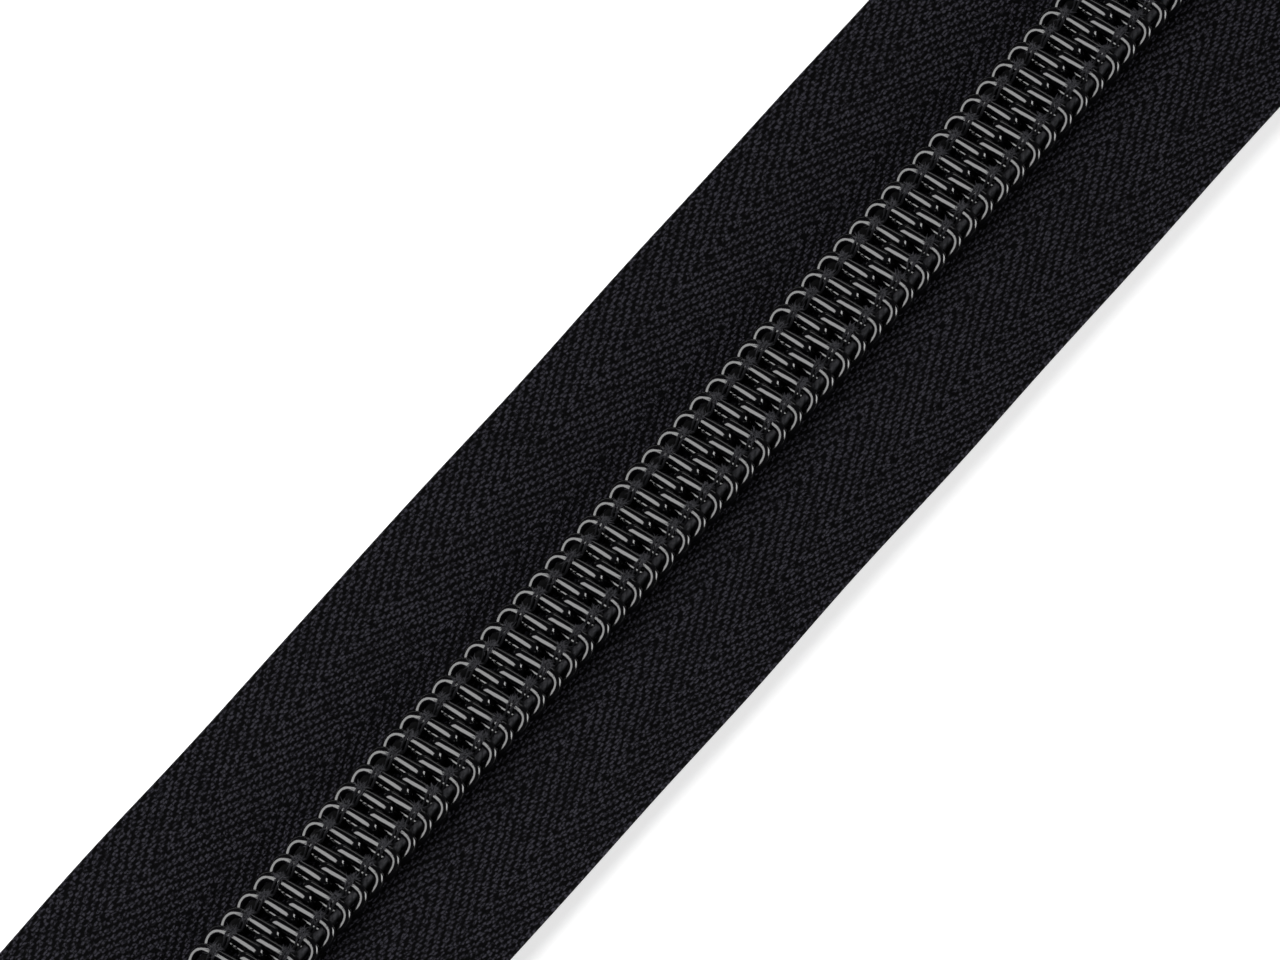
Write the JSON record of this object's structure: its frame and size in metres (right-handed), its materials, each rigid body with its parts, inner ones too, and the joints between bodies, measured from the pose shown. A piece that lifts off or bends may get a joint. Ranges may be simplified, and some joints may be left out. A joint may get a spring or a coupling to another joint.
{
  "type": "zipper",
  "caption": "Closed-end coil zipper: two woven tapes with interlocking coils, a locking slider with a hinged pull, and end stops.",
  "frame": {"origin": "middle of the zipper's outline at the underside of the slider and stops' side", "axes": "+Y along the chain from the bottom stop to the top stops, +X across to the right tape, +Z out of the face that carries the coils"},
  "size_m": [0.0558, 0.28, 0.0113],
  "materials": {
    "tape": "matte black woven polyester, herringbone twill",
    "coil": "glossy black nylon monofilament",
    "cord": "dull dark filler cord",
    "thread": "fuzzy black spun thread",
    "stop": "black enamel",
    "slider": "satin black enamel on a zinc casting",
    "steel": "plain spring steel"
  },
  "bodies": {
    "bottom_end": {"bottom_stop": "stop"},
    "left_stringer": {"left_tape": "tape", "left_coil": "coil", "left_core_cord": "cord", "left_top_stop": "stop", "left_needle_thread_inner": "thread", "left_needle_thread_outer": "thread", "left_looper_thread_inner": "thread", "left_looper_thread_outer": "thread"},
    "right_stringer": {"right_tape": "tape", "right_coil": "coil", "right_core_cord": "cord", "right_top_stop": "stop", "right_needle_thread_inner": "thread", "right_needle_thread_outer": "thread", "right_looper_thread_inner": "thread", "right_looper_thread_outer": "thread"},
    "slider": {"slider_body": "slider", "slider_cover": "slider", "leaf_spring": "steel"},
    "pawl": {"pawl": "steel"},
    "pull_link": {"pull_link": "slider"},
    "pull_tab": {"pull_tab": "slider"}
  },
  "joints": [
    {"name": "slider_travel", "type": "slide", "parent": "bottom_end", "child": "slider", "axis": [0, -1, 0], "range_m": [0, 0.2335], "deforming": ["left_coil", "left_core_cord", "left_needle_thread_inner", "left_needle_thread_outer", "right_coil", "right_core_cord", "right_needle_thread_inner", "right_needle_thread_outer"]},
    {"name": "left_opening", "type": "hinge", "parent": "bottom_end", "child": "left_stringer", "pos_m": [0, -0.133, 0], "axis": [0, 0, 1], "range_deg": [0, 8]},
    {"name": "right_opening", "type": "hinge", "parent": "bottom_end", "child": "right_stringer", "pos_m": [0, -0.133, 0], "axis": [0, 0, -1], "range_deg": [0, 8]},
    {"name": "pull_swing", "type": "hinge", "parent": "slider", "child": "pull_link", "pos_m": [0, 0.1108, 0.00825], "axis": [-1, 0, 0], "range_deg": [0, 150]},
    {"name": "tab_swing", "type": "hinge", "parent": "pull_link", "child": "pull_tab", "pos_m": [0, 0.1012, 0.008], "axis": [-1, 0, 0], "range_deg": [0, 60]},
    {"name": "pawl_lift", "type": "hinge", "parent": "slider", "child": "pawl", "pos_m": [0, 0.1151, 0.00935], "axis": [-1, 0, 0], "range_deg": [0, 4.5], "deforming": ["leaf_spring"]}
  ],
  "couplings": [
    {"joint": "left_opening", "follows": "slider_travel", "rad_per_m": 0.5979},
    {"joint": "right_opening", "follows": "slider_travel", "rad_per_m": 0.5979},
    {"joint": "pawl_lift", "follows": "pull_swing", "ratio": 0.03}
  ]
}
